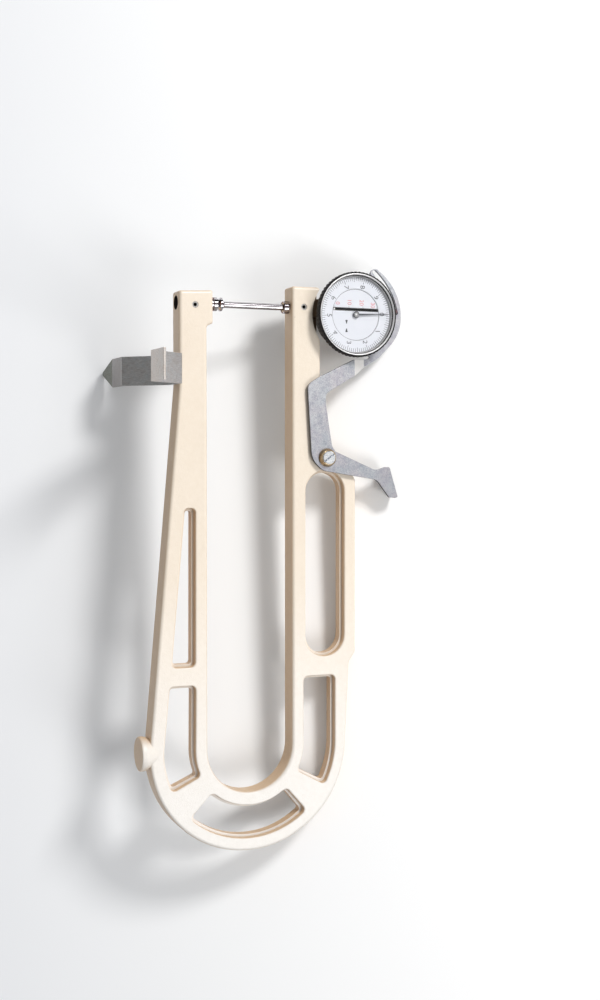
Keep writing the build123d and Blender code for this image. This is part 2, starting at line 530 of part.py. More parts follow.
# rear bridge that carries the arbor's back pivot
bridge = rounded([(59.0, -2.6, 0.8), (79.8, -2.6, 0.8), (79.8, -9.6, 1.5), (59.0, -9.6, 1.5)])
bridge = slab(bridge, CASE_BACK_Z + COVER_T + 0.05, -2.7) - rod(DIAL_X, DIAL_Y, -6, 0, 0.44)
for x in (61.6, 77.2):
    bridge = bridge - rod(x, -7.4, -6, 0, 0.8)
parts["rear_bridge"] = bridge
pillars = []
for x in (61.6, 77.2):
    pillars.append(rod(x, -7.4, -2.7, 4.6, 1.6) + rod(x, -7.4, -3.8, -2.7, 0.78))
parts["bridge_pillars"] = Compound(children=pillars)
parts["arbor_bush"] = rod(DIAL_X, DIAL_Y, 4.6, 5.9, 1.3) - rod(DIAL_X, DIAL_Y, 4, 7, 0.74)


# pinion: involute teeth, drawn from the rack they run on
def involute(base, r):
    t = sqrt(max((r / base) ** 2 - 1, 0.0))
    return t - atan2(t, 1.0)


base_r = PITCH_R * cos(radians(20))
tip_r, root_r = PITCH_R + ADD, PITCH_R - DED
half_tooth = (pi / (2 * TEETH)) - BACKLASH / 4 / PITCH_R
pts = []
for k in range(TEETH):
    mid = 90 + 360.0 / TEETH * k            # a tooth points at the rack at rest
    flank = []
    for r in [base_r + (tip_r - base_r) * j / 4 for j in range(5)]:
        a = half_tooth + involute(base_r, PITCH_R) - involute(base_r, r)
        flank.append((r, a))
    a0 = flank[0][1]
    side = [(root_r, a0 + 0.02)] + flank
    for r, a in side:
        q = radians(mid) - a
        pts.append((r * cos(q), r * sin(q)))
    for r, a in reversed(side):
        q = radians(mid) + a
        pts.append((r * cos(q), r * sin(q)))
gear = make_face(Polyline(pts + [pts[0]]).edges())
pinion = Pos(DIAL_X, DIAL_Y, -1.2) * extrude(gear, 2.4)
arbor = rod(DIAL_X, DIAL_Y, -2.5, -1.2, 0.9) + rod(DIAL_X, DIAL_Y, -3.9, -2.5, 0.4) + rod(DIAL_X, DIAL_Y, 1.2, 4.4, 1.1) \
    + rod(DIAL_X, DIAL_Y, 4.4, 16.0, 0.7)
parts["pinion_arbor"] = pinion + arbor

# spiral return spring round the arbor, above the movement plate: it winds as the spindle is lifted
SPIRAL_Z0, SPIRAL_Z1 = 6.9, 8.5
parts["spring_collet"] = rod(DIAL_X, DIAL_Y, 6.4, 8.7, 0.98) - rod(DIAL_X, DIAL_Y, 6, 9, 0.7)
outer_pts, inner_pts = [], []
turns, r_in, pitch_sp, strip = 2.5, 1.06, 0.56, 0.16
for k in range(0, 53):
    q = 2 * pi * turns * k / 52
    r = r_in + pitch_sp * q / (2 * pi)
    outer_pts.append(((r + strip) * cos(q), (r + strip) * sin(q)))
    inner_pts.append((r * cos(q), r * sin(q)))
spiral = make_face(Wire([Spline(*[Vector(*q) for q in outer_pts]), Line(outer_pts[-1], inner_pts[-1]),
                         Spline(*[Vector(*q) for q in reversed(inner_pts)]), Line(inner_pts[0], outer_pts[0])]).edges())
spiral = Rot(0, 0, 180) * spiral
parts["return_spring"] = Pos(DIAL_X, DIAL_Y, SPIRAL_Z0) * extrude(spiral, SPIRAL_Z1 - SPIRAL_Z0)
end_q = 2 * pi * turns + pi
end_r = r_in + pitch_sp * turns + strip / 2
stud_x, stud_y = DIAL_X + (end_r + 0.62) * cos(end_q), DIAL_Y + (end_r + 0.62) * sin(end_q)
parts["spring_stud"] = rod(stud_x, stud_y, 5.6, 8.7, 0.5)

# ------------------------------------------------------------------ dial face, pointer, bezel
centre = rod(DIAL_X, DIAL_Y, CENTRE_Z - 0.8, CENTRE_Z, 16.6) - rod(DIAL_X, DIAL_Y, 5, 16, 1.2)
centre = centre - box(54.1, 85.1, SLOT_Y - 0.7, SLOT_Y + 0.7, 5, 16)
parts["dial_centre"] = centre
dposts = []
for a in (20, 160, 270):
    x, y = DIAL_X + 13.2 * cos(radians(a)), DIAL_Y + 13.2 * sin(radians(a))
    if a != 270:
        y += 3.0
    dposts.append(rod(x, y, 5.6, CENTRE_Z - 0.8, 1.3))
parts["dial_posts"] = Compound(children=dposts)
ring = rod(DIAL_X, DIAL_Y, FACE_Z - 0.8, FACE_Z, 24.6) - rod(DIAL_X, DIAL_Y, 5, 16, 16.7)
parts["dial_scale_ring"] = ring
parts["pointer_hub"] = spun([(0.7, 14.9), (1.75, 14.9), (1.75, 15.9), (1.5, 16.15), (0.7, 16.15)])
blade = make_face(Polyline([(1.77, 0.62), (3.6, 0.5), (23.0, 0.12), (23.0, -0.12), (3.6, -0.5), (1.77, -0.62), (1.77, 0.62)]).edges())
parts["pointer"] = Pos(DIAL_X, DIAL_Y, 15.3) * Rot(0, 0, ZERO_TURN) * extrude(blade, 0.3) + Pos(DIAL_X, DIAL_Y, 15.3) * (extrude(Circle(2.2) - Circle(1.75), 0.3))

bezel = spun([(CUP_R + 0.08, BEZEL_Z0), (25.6, BEZEL_Z0), (25.6, 13.5), (26.9, 13.8), (BEZEL_R, 14.3), (BEZEL_R, 17.6), (BEZEL_R - 0.3, 18.3),
              (26.3, BEZEL_Z1), (25.8, BEZEL_Z1), (25.1, 18.0), (25.1, 17.75), (25.5, 17.75), (25.5, 16.7), (24.72, 16.7), (24.72, FACE_Z - 0.8),
              (23.6, FACE_Z - 0.8), (23.6, 13.15), (CUP_R + 0.08, 13.15)])
wire_groove = spun([(CUP_R - 1, 11.5), (CUP_R + 0.5, 11.5), (CUP_R + 0.5, 12.3), (CUP_R - 1, 12.3)])
bezel = bezel - wire_groove
parts["bezel"] = bezel
parts["crystal"] = spun([(0, 16.7), (25.42, 16.7), (25.42, 17.6), (25.1, 17.72), (0, 17.72)])
# conical ring between face and crystal
parts["crystal_spacer_ring"] = spun([(23.9, FACE_Z), (24.68, FACE_Z), (24.68, 16.68), (24.5, 16.68)])
ringwire = Pos(DIAL_X, DIAL_Y, 11.9) * Torus(CUP_R + 0.1, 0.38)
parts["bezel_retaining_wire"] = ringwire

# ------------------------------------------------------------------ lay the tool down and write it
def laid(s):
    return Rot(REST_PITCH, 0, 0) * (Rot(0, REST_ROLL, 0) * s)


placed = {name: laid(s) for name, s in parts.items()}
low = [min(tuple(s.bounding_box().min)[k] for s in placed.values()) for k in range(3)]
high = [max(tuple(s.bounding_box().max)[k] for s in placed.values()) for k in range(3)]
shift = (-(low[0] + high[0]) / 2, -(low[1] + high[1]) / 2, -low[2])
print("PLACE", *[round(v, 4) for v in shift], "EXTENT", *[round(h - l, 3) for l, h in zip(low, high)])
for name, s in placed.items():
    export_step(Pos(*shift) * s, f"parts/{name}.step")
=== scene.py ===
"""Deep-throat dial thickness gauge: finishes, dial printing, knurled bezel, light and camera."""

import json
import math
from math import radians, sin, cos, pi

import bmesh
import bpy
from mathutils import Matrix, Vector

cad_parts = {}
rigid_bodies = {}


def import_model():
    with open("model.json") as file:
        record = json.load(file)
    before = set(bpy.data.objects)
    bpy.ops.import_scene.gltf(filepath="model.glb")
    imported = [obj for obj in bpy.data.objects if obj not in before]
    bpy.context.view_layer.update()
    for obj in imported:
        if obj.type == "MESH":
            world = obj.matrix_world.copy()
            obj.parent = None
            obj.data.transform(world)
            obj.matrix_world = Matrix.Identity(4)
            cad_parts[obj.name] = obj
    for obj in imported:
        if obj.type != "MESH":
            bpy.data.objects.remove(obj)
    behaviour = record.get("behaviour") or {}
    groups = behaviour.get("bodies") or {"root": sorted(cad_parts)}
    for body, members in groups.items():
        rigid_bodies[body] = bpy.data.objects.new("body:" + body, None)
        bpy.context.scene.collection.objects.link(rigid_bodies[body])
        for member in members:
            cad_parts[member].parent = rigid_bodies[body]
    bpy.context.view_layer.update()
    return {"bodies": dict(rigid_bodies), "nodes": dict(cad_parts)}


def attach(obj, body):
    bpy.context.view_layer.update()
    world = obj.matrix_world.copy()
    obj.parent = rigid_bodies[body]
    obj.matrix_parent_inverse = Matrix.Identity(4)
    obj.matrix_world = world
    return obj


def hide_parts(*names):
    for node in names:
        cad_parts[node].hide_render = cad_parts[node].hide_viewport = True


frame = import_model()
nodes = frame["nodes"]

# ------------------------------------------------------------------ axes of the casting
# Shapes are drawn in plate millimetres: X across the throat, Y along the arms, Z out of the front
# face. LAY turns them to the way the tool lies on the table.
PLACE = Vector((-1.7142, 158.7976, 42.9793)) * 0.001
TURN = Matrix.Rotation(radians(2.402), 4, "X") @ Matrix.Rotation(radians(22.043), 4, "Y")
LAY = Matrix.Translation(PLACE) @ TURN @ Matrix.Scale(0.001, 4)

DIAL_X, DIAL_Y = 69.4, -4.4
FACE_Z = 14.6                     # printed face of the scale ring
CENTRE_Z = 14.3                   # face of the dial's centre
SLOT_Y = -1.0


# ------------------------------------------------------------------ node helpers
def material(name):
    m = bpy.data.materials.new(name)
    m.use_nodes = True
    m.node_tree.nodes.clear()
    out = m.node_tree.nodes.new("ShaderNodeOutputMaterial")
    b = m.node_tree.nodes.new("ShaderNodeBsdfPrincipled")
    m.node_tree.links.new(b.outputs[0], out.inputs[0])
    return m, m.node_tree, b


def plate(nt, scale=(1.0, 1.0, 1.0), about=(0.0, 0.0, 0.0)):
    """Plate millimetres times scale, about a plate point."""
    tc = nt.nodes.new("ShaderNodeTexCoord")
    m = nt.nodes.new("ShaderNodeMapping")
    m.vector_type = "TEXTURE"
    origin = LAY @ Vector(about)
    m.inputs["Location"].default_value = origin
    m.inputs["Rotation"].default_value = TURN.to_3x3().to_euler("XYZ")
    m.inputs["Scale"].default_value = tuple(0.001 / s for s in scale)
    nt.links.new(tc.outputs["Object"], m.inputs["Vector"])
    return m.outputs[0]


def noise(nt, vec, scale, detail=3.0, rough=0.5, distortion=0.0):
    n = nt.nodes.new("ShaderNodeTexNoise")
    n.inputs["Scale"].default_value = scale
    n.inputs["Detail"].default_value = detail
    n.inputs["Roughness"].default_value = rough
    n.inputs["Distortion"].default_value = distortion
    nt.links.new(vec, n.inputs["Vector"])
    return n.outputs["Fac"]


def voronoi(nt, vec, scale, feature="F1"):
    n = nt.nodes.new("ShaderNodeTexVoronoi")
    n.feature = feature
    n.inputs["Scale"].default_value = scale
    nt.links.new(vec, n.inputs["Vector"])
    return n.outputs["Distance"]


def ramp(nt, fac, stops):
    r = nt.nodes.new("ShaderNodeValToRGB")
    els = r.color_ramp.elements
    while len(els) > 1:
        els.remove(els[-1])
    els[0].position = stops[0][0]
    els[0].color = (*stops[0][1], 1.0)
    for p, c in stops[1:]:
        e = els.new(p)
        e.color = (*c, 1.0)
    nt.links.new(fac, r.inputs["Fac"])
    return r.outputs["Color"]


def span(nt, value, a, b, c, d):
    """Value from a..b mapped to c..d, clamped."""
    r = nt.nodes.new("ShaderNodeMapRange")
    for k, v in zip(("From Min", "From Max", "To Min", "To Max"), (a, b, c, d)):
        r.inputs[k].default_value = v
    nt.links.new(value, r.inputs["Value"])
    return r.outputs["Result"]


def calc(nt, op, a, b):
    m = nt.nodes.new("ShaderNodeMath")
    m.operation = op
    for i, v in enumerate((a, b)):
        if isinstance(v, (int, float)):
            m.inputs[i].default_value = v
        else:
            nt.links.new(v, m.inputs[i])
    return m.outputs[0]


def blend_colour(nt, a, b, fac, mode="MIX"):
    m = nt.nodes.new("ShaderNodeMix")
    m.data_type = "RGBA"
    m.blend_type = mode
    ia = [s for s in m.inputs if s.name == "A" and s.type == "RGBA"][0]
    ib = [s for s in m.inputs if s.name == "B" and s.type == "RGBA"][0]
    fa = [s for s in m.inputs if s.name == "Factor" and s.type == "VALUE"][0]
    for s, v in ((ia, a), (ib, b)):
        if isinstance(v, tuple):
            s.default_value = (*v, 1.0)
        else:
            nt.links.new(v, s)
    if isinstance(fac, (int, float)):
        fa.default_value = fac
    else:
        nt.links.new(fac, fa)
    return [s for s in m.outputs if s.type == "RGBA"][0]


def bump(nt, height, depth_mm, normal=None, strength=1.0):
    n = nt.nodes.new("ShaderNodeBump")
    n.inputs["Strength"].default_value = strength
    n.inputs["Distance"].default_value = depth_mm * 0.001
    nt.links.new(height, n.inputs["Height"])
    if normal is not None:
        nt.links.new(normal, n.inputs["Normal"])
    return n.outputs[0]


def parts_of(nt, vec):
    s = nt.nodes.new("ShaderNodeSeparateXYZ")
    nt.links.new(vec, s.inputs[0])
    return s.outputs


# ------------------------------------------------------------------ materials
def frame_paint():
    """Beige paint on a sand casting: even colour, fine orange peel, grainier skin in the bend. Painted light and
    shade: a painted highlight towards the bend, painted shade on the flanks, in the pocket behind the dial and in the
    anvil's bore.
    """
    m, nt, b = material("frame_paint")
    v = plate(nt)
    wide = noise(nt, v, 0.03, 2.0, 0.5)
    fine = noise(nt, v, 0.35, 4.0, 0.6)
    base = ramp(nt, wide, [(0.3, (0.688, 0.603, 0.504)), (0.7, (0.710, 0.627, 0.526))])
    tint = ramp(nt, fine, [(0.35, (0.975, 0.968, 0.955)), (0.65, (1.0, 1.0, 1.0))])
    colour = blend_colour(nt, base, tint, 1.0, "MULTIPLY")
    # painted highlight: paler tint towards the bend, by position along the arms
    pale = span(nt, parts_of(nt, v)[1], -170.0, -310.0, 0.0, 1.0)
    colour = blend_colour(nt, colour, ramp(nt, fine, [(0.35, (0.700, 0.668, 0.628)), (0.65, (0.726, 0.696, 0.660))]), pale)
    # painted shade: browner tint where the surface faces sideways, by object normal
    tc = nt.nodes.new("ShaderNodeTexCoord")
    face = nt.nodes.new("ShaderNodeVectorMath")
    face.operation = "DOT_PRODUCT"
    nt.links.new(tc.outputs["Normal"], face.inputs[0])
    face.inputs[1].default_value = tuple(TURN.to_3x3() @ Vector((0, 0, 1)))
    painted_flank_shade = span(nt, calc(nt, "ABSOLUTE", face.outputs["Value"], 0.0), 0.15, 0.85, 1.0, 0.0)
    flank_shade_brown = ramp(nt, fine, [(0.3, (0.640, 0.452, 0.282)), (0.7, (0.665, 0.478, 0.302))])
    colour = blend_colour(nt, colour, flank_shade_brown, painted_flank_shade)
    # painted shade: dark tints in the pocket behind the dial and in the anvil's bore, by position
    x, y, z = parts_of(nt, v)
    reach = calc(nt, "SQRT", calc(nt, "ADD", calc(nt, "POWER", calc(nt, "SUBTRACT", x, DIAL_X), 2.0), calc(nt, "POWER", calc(nt, "SUBTRACT", y, DIAL_Y), 2.0)), 0.0)
    painted_pocket_shade = calc(nt, "MULTIPLY", span(nt, reach, 27.10, 27.24, 1.0, 0.0), span(nt, z, 7.0, 7.3, 1.0, 0.0))
    painted_pocket_shade = calc(nt, "MULTIPLY", painted_pocket_shade, span(nt, x, 47.6, 47.9, 1.0, 0.0))
    colour = blend_colour(nt, colour, (0.150, 0.096, 0.058), painted_pocket_shade)
    # painted shade inside the anvil's bore
    painted_bore_shade = calc(nt, "SQRT", calc(nt, "ADD", calc(nt, "POWER", y, 2.0), calc(nt, "POWER", z, 2.0)), 0.0)
    painted_bore_shade = calc(nt, "MULTIPLY", span(nt, painted_bore_shade, 4.42, 4.48, 1.0, 0.0), span(nt, x, -40.0, -41.0, 0.0, 1.0))
    colour = blend_colour(nt, colour, (0.030, 0.024, 0.020), painted_bore_shade)
    # a few dust grains caught in the paint
    dots = voronoi(nt, v, 0.075)
    speck = span(nt, dots, 0.012, 0.020, 1.0, 0.0)
    keep = span(nt, noise(nt, plate(nt, about=(31.0, 7.0, 3.0)), 0.018, 1.0), 0.54, 0.56, 0.0, 1.0)
    speck = calc(nt, "MULTIPLY", speck, keep)
    colour = blend_colour(nt, colour, (0.23, 0.18, 0.13), speck)
    nt.links.new(colour, b.inputs["Base Color"])
    nt.links.new(span(nt, noise(nt, v, 0.9, 2.0), 0.3, 0.7, 0.30, 0.40), b.inputs["Roughness"])
    b.inputs["Specular IOR Level"].default_value = 0.42
    b.inputs["Coat Weight"].default_value = 0.12
    b.inputs["Coat Roughness"].default_value = 0.26
    peel = noise(nt, v, 0.85, 2.0, 0.45)
    bend = span(nt, parts_of(nt, v)[1], -215.0, -290.0, 0.25, 1.0)
    grain = calc(nt, "MULTIPLY", noise(nt, v, 1.7, 3.0, 0.6), bend)
    n1 = bump(nt, peel, 0.075)
    n2 = bump(nt, grain, 0.16, n1)
    n3 = bump(nt, noise(nt, v, 0.09, 2.0), 0.22, n2)
    nt.links.new(n3, b.inputs["Normal"])
    return m


def rolled_steel():
    """Cold-rolled sheet with the mottled, slightly lilac skin of tumbled steel."""
    m, nt, b = material("rolled_steel")
    v = plate(nt)
    blot = noise(nt, plate(nt, (1.0, 0.8, 1.0)), 0.42, 6.0, 0.66, 0.4)
    hue = noise(nt, plate(nt, about=(9.0, 4.0, 0.0)), 0.09, 3.0, 0.5)
    dark = ramp(nt, hue, [(0.35, (0.330, 0.345, 0.385)), (0.65, (0.365, 0.350, 0.400))])
    pale = ramp(nt, hue, [(0.35, (0.455, 0.465, 0.490)), (0.65, (0.480, 0.462, 0.480))])
    base = blend_colour(nt, dark, pale, span(nt, blot, 0.33, 0.66, 0.0, 1.0))
    fleck = noise(nt, v, 1.9, 3.0, 0.65)
    base = blend_colour(nt, base, ramp(nt, fleck, [(0.36, (0.66, 0.66, 0.69)), (0.56, (1.0, 1.0, 1.0))]), 0.9, "MULTIPLY")
    x, y, z = parts_of(nt, v)
    # a little darker towards the thumb plate, by position
    tone = ramp(nt, span(nt, y, -122.0, -30.0, 0.0, 1.0), [(0.0, (0.82, 0.83, 0.82)), (0.25, (0.88, 0.89, 0.88)), (0.55, (0.96, 0.97, 0.95)), (1.0, (1.02, 1.03, 1.01))])
    base = blend_colour(nt, base, tone, 1.0, "MULTIPLY")
    # painted highlight: lighter tint on the steep facet of the offset, by position
    painted_facet_light = calc(nt, "MULTIPLY", span(nt, x, 70.3, 70.9, 0.0, 1.0), span(nt, x, 79.7, 79.1, 0.0, 1.0))
    painted_facet_light = calc(nt, "MULTIPLY", painted_facet_light, span(nt, y, -52.0, -50.0, 0.0, 1.0))
    painted_facet_light = calc(nt, "MULTIPLY", painted_facet_light, span(nt, z, 11.5, 11.0, 0.0, 1.0))
    base = blend_colour(nt, base, (0.70, 0.685, 0.665), painted_facet_light)
    # painted shade on the cut edges of the sheet, by object normal
    tc = nt.nodes.new("ShaderNodeTexCoord")
    face = nt.nodes.new("ShaderNodeVectorMath")
    face.operation = "DOT_PRODUCT"
    nt.links.new(tc.outputs["Normal"], face.inputs[0])
    face.inputs[1].default_value = tuple(TURN.to_3x3() @ Vector((0, 0, 1)))
    painted_edge_shade = span(nt, calc(nt, "ABSOLUTE", face.outputs["Value"], 0.0), 0.05, 0.35, 0.85, 0.0)
    painted_edge_shade = calc(nt, "MULTIPLY", painted_edge_shade, span(nt, y, -52.0, -50.0, 1.0, 0.0))
    base = blend_colour(nt, base, (0.060, 0.056, 0.055), painted_edge_shade)
    nt.links.new(base, b.inputs["Base Color"])
    b.inputs["Metallic"].default_value = 0.92
    nt.links.new(span(nt, blot, 0.3, 0.7, 0.40, 0.56), b.inputs["Roughness"])
    # short scratches across the sheet
    scratch = noise(nt, plate(nt, (0.12, 2.6, 1.0)), 1.1, 3.0, 0.7)
    n1 = bump(nt, noise(nt, v, 1.4, 3.0, 0.6), 0.035)
    n2 = bump(nt, scratch, 0.02, n1)
    nt.links.new(n2, b.inputs["Normal"])
    return m


def bracket_steel():
    """Sheet strip with grain along it. Its tint changes along the strip, by position: painted light and shade on its
    legs, flanges and pointed tip, with a painted highlight at the bend into the front flange.
    """
    m, nt, b = material("bracket_steel")
    v = plate(nt)
    line = noise(nt, plate(nt, (0.45, 2.6, 0.45), (0, -42.0, 0)), 0.9, 6.0, 0.74)
    cross = noise(nt, plate(nt, (1.6, 0.25, 1.6)), 0.9, 3.0, 0.6)
    blot = noise(nt, v, 0.30, 5.0, 0.66)
    base = ramp(nt, line, [(0.32, (0.270, 0.270, 0.270)), (0.66, (0.455, 0.453, 0.455))])
    tint = ramp(nt, blot, [(0.32, (0.90, 0.86, 0.84)), (0.5, (1.0, 1.0, 1.0)), (0.7, (0.93, 0.97, 1.0))])
    base = blend_colour(nt, base, tint, 1.0, "MULTIPLY")
    z = parts_of(nt, v)[2]
    # painted light and shade along the strip: each leg and flange lit or shaded as it faces, and a painted highlight
    # at the front flange's bend
    along = ramp(nt, span(nt, z, -78.0, 62.0, 0.0, 1.0), [
        (0.0, (0.57, 0.59, 0.52)), (0.118, (0.59, 0.61, 0.54)), (0.124, (1.02, 0.98, 0.96)), (0.16, (0.86, 0.81, 0.79)), (0.275, (0.74, 0.69, 0.66)),
        (0.295, (1.10, 1.08, 1.05)), (0.46, (1.26, 1.25, 1.22)), (0.65, (1.34, 1.34, 1.37)), (0.77, (1.36, 1.35, 1.36)), (0.785, (1.62, 1.48, 1.36)), (1.0, (1.50, 1.40, 1.30))])
    base = blend_colour(nt, base, along, 1.0, "MULTIPLY")
    nt.links.new(base, b.inputs["Base Color"])
    b.inputs["Metallic"].default_value = 0.95
    nt.links.new(span(nt, cross, 0.3, 0.7, 0.34, 0.48), b.inputs["Roughness"])
    n1 = bump(nt, line, 0.02)
    n2 = bump(nt, cross, 0.012, n1)
    nt.links.new(n2, b.inputs["Normal"])
    return m


def chromed_steel():
    """Polished hard chrome with faint rings."""
    m, nt, b = material("chromed_steel")
    ring = noise(nt, plate(nt, (3.0, 0.05, 0.05)), 1.0, 3.0, 0.6)
    cloud = noise(nt, plate(nt), 0.5, 2.0)
    base = ramp(nt, cloud, [(0.3, (0.86, 0.85, 0.86)), (0.7, (0.96, 0.95, 0.96))])
    # light and dark lines along the rod, by object normal, which stand in for reflections of a studio
    tc = nt.nodes.new("ShaderNodeTexCoord")
    across = nt.nodes.new("ShaderNodeVectorMath")
    across.operation = "DOT_PRODUCT"
    nt.links.new(tc.outputs["Normal"], across.inputs[0])
    across.inputs[1].default_value = tuple(TURN.to_3x3() @ Vector((0, 1, 0)))
    lines = ramp(nt, span(nt, across.outputs["Value"], -1.0, 1.0, 0.0, 1.0), [
        (0.0, (0.22, 0.20, 0.20)), (0.10, (0.34, 0.32, 0.32)), (0.17, (0.90, 0.88, 0.89)), (0.29, (0.86, 0.84, 0.85)), (0.33, (0.36, 0.35, 0.36)),
        (0.47, (0.36, 0.35, 0.36)), (0.50, (0.32, 0.20, 0.21)), (0.56, (0.42, 0.34, 0.35)), (0.60, (0.075, 0.072, 0.075)), (0.73, (0.075, 0.072, 0.075)),
        (0.79, (0.90, 0.88, 0.89)), (0.88, (0.72, 0.70, 0.71)), (0.94, (0.20, 0.18, 0.18)), (1.0, (0.16, 0.15, 0.15))])
    nt.links.new(blend_colour(nt, base, lines, 1.0, "MULTIPLY"), b.inputs["Base Color"])
    b.inputs["Metallic"].default_value = 1.0
    nt.links.new(span(nt, ring, 0.3, 0.7, 0.06, 0.13), b.inputs["Roughness"])
    nt.links.new(bump(nt, ring, 0.004), b.inputs["Normal"])
    return m


def bright_steel(name="bright_steel", lo=0.55, hi=0.66, r0=0.22, r1=0.34):
    """Turned steel with tool marks round the dial's axis."""
    m, nt, b = material(name)
    v = plate(nt, about=(DIAL_X, DIAL_Y, 0))
    mark = noise(nt, plate(nt, (1.0, 1.0, 0.4)), 1.6, 3.0, 0.65)
    cloud = noise(nt, v, 0.35, 3.0)
    nt.links.new(ramp(nt, cloud, [(0.3, (lo, lo * 0.995, lo)), (0.7, (hi, hi * 0.99, hi * 0.985))]), b.inputs["Base Color"])
    b.inputs["Metallic"].default_value = 1.0
    nt.links.new(span(nt, mark, 0.3, 0.7, r0, r1), b.inputs["Roughness"])
    nt.links.new(bump(nt, mark, 0.01), b.inputs["Normal"])
    return m


def dark_screw():
    """Dark screw with a mottled, partly bright skin."""
    m, nt, b = material("dark_screw")
    v = plate(nt)
    tone = noise(nt, v, 1.3, 4.0, 0.65)
    base = ramp(nt, tone, [(0.30, (0.14, 0.13, 0.12)), (0.55, (0.66, 0.64, 0.61))])
    # painted shade inside the hexagon of each lock screw, by position
    x, y, z = parts_of(nt, v)
    near = []
    for cx, cy in ((-36.2, -1.5), (36.5, 0.0)):
        near.append(calc(nt, "SQRT", calc(nt, "ADD", calc(nt, "POWER", calc(nt, "SUBTRACT", x, cx), 2.0), calc(nt, "POWER", calc(nt, "SUBTRACT", y, cy), 2.0)), 0.0))
    painted_hex_shade = calc(nt, "MULTIPLY", span(nt, calc(nt, "MINIMUM", near[0], near[1]), 1.05, 1.25, 1.0, 0.0), span(nt, z, 1.0, 2.0, 0.0, 1.0))
    base = blend_colour(nt, base, (0.012, 0.010, 0.009), painted_hex_shade)
    nt.links.new(base, b.inputs["Base Color"])
    b.inputs["Metallic"].default_value = 1.0
    nt.links.new(span(nt, tone, 0.3, 0.7, 0.38, 0.24), b.inputs["Roughness"])
    nt.links.new(bump(nt, noise(nt, v, 3.0, 2.0), 0.02), b.inputs["Normal"])
    return m


def pivot_steel():
    """Bright screw head, a little smeared."""
    m, nt, b = material("pivot_steel")
    v = plate(nt)
    smear = noise(nt, plate(nt, (0.5, 1.8, 1.0)), 0.7, 4.0, 0.65, 0.6)
    base = ramp(nt, smear, [(0.35, (0.80, 0.82, 0.84)), (0.6, (0.88, 0.89, 0.89))])
    # painted shade inside the screwdriver slot, by position
    x, y, z = parts_of(nt, v)
    along = calc(nt, "MULTIPLY", calc(nt, "SUBTRACT", x, 51.2), sin(radians(37.0)))
    side = calc(nt, "MULTIPLY", calc(nt, "SUBTRACT", y, -96.2), cos(radians(37.0)))
    off = calc(nt, "ABSOLUTE", calc(nt, "SUBTRACT", side, along), 0.0)
    base = blend_colour(nt, base, (0.40, 0.42, 0.46), span(nt, off, 0.51, 0.56, 1.0, 0.0))
    nt.links.new(base, b.inputs["Base Color"])
    b.inputs["Metallic"].default_value = 1.0
    nt.links.new(span(nt, smear, 0.3, 0.7, 0.16, 0.32), b.inputs["Roughness"])
    nt.links.new(bump(nt, smear, 0.010), b.inputs["Normal"])
    return m


def brass():
    """Turned brass, tarnished brown where it isn't rubbed."""
    m, nt, b = material("brass")
    v = plate(nt)
    stain = noise(nt, v, 0.5, 4.0, 0.6)
    nt.links.new(ramp(nt, stain, [(0.35, (0.22, 0.15, 0.085)), (0.55, (0.44, 0.33, 0.20)), (0.75, (0.60, 0.49, 0.33))]), b.inputs["Base Color"])
    b.inputs["Metallic"].default_value = 1.0
    nt.links.new(span(nt, stain, 0.3, 0.7, 0.42, 0.27), b.inputs["Roughness"])
    nt.links.new(bump(nt, noise(nt, v, 2.5, 2.0), 0.01), b.inputs["Normal"])
    return m


def black_finish(name, lo, hi, r0, r1, grain, gloss=0.5):
    """Black-enamelled or black-oxided metal."""
    m, nt, b = material(name)
    v = plate(nt, about=(DIAL_X, DIAL_Y, 0))
    cloud = noise(nt, v, 0.45, 4.0, 0.6)
    nt.links.new(ramp(nt, cloud, [(0.3, lo), (0.7, hi)]), b.inputs["Base Color"])
    b.inputs["Specular IOR Level"].default_value = gloss
    nt.links.new(span(nt, cloud, 0.3, 0.7, r0, r1), b.inputs["Roughness"])
    nt.links.new(bump(nt, noise(nt, v, 2.2, 2.0), grain), b.inputs["Normal"])
    return m


def dial_white():
    """Silvery-white printed dial sheet."""
    m, nt, b = material("dial_white")
    v = plate(nt)
    cloud = noise(nt, v, 0.12, 2.0)
    fine = noise(nt, v, 6.0, 2.0)
    base = ramp(nt, cloud, [(0.3, (0.545, 0.560, 0.605)), (0.7, (0.565, 0.577, 0.616))])
    base = blend_colour(nt, base, ramp(nt, fine, [(0.3, (0.96, 0.96, 0.96)), (0.7, (1.0, 1.0, 1.0))]), 1.0, "MULTIPLY")
    nt.links.new(base, b.inputs["Base Color"])
    nt.links.new(span(nt, fine, 0.3, 0.7, 0.42, 0.56), b.inputs["Roughness"])
    nt.links.new(bump(nt, fine, 0.004), b.inputs["Normal"])
    return m


def ink(name, a, c):
    """Printing ink, a little uneven."""
    m, nt, b = material(name)
    n = noise(nt, plate(nt), 2.5, 3.0, 0.6)
    nt.links.new(ramp(nt, n, [(0.3, a), (0.7, c)]), b.inputs["Base Color"])
    nt.links.new(span(nt, n, 0.3, 0.7, 0.45, 0.6), b.inputs["Roughness"])
    return m


def clear_crystal():
    """Clear acrylic. Light from the lamps passes it, so that the dial under it is lit."""
    m, nt, b = material("clear_crystal")
    b.inputs["Base Color"].default_value = (1.0, 1.0, 1.0, 1.0)
    b.inputs["Transmission Weight"].default_value = 1.0
    b.inputs["IOR"].default_value = 1.30
    nt.links.new(span(nt, noise(nt, plate(nt), 0.25, 3.0), 0.3, 0.7, 0.0, 0.02), b.inputs["Roughness"])
    path = nt.nodes.new("ShaderNodeLightPath")
    clear = nt.nodes.new("ShaderNodeBsdfTransparent")
    mix = nt.nodes.new("ShaderNodeMixShader")
    nt.links.new(calc(nt, "MAXIMUM", path.outputs["Is Shadow Ray"], path.outputs["Is Diffuse Ray"]), mix.inputs[0])
    nt.links.new(b.outputs[0], mix.inputs[1])
    nt.links.new(clear.outputs[0], mix.inputs[2])
    out = [n for n in nt.nodes if n.type == "OUTPUT_MATERIAL"][0]
    nt.links.new(mix.outputs[0], out.inputs[0])
    return m


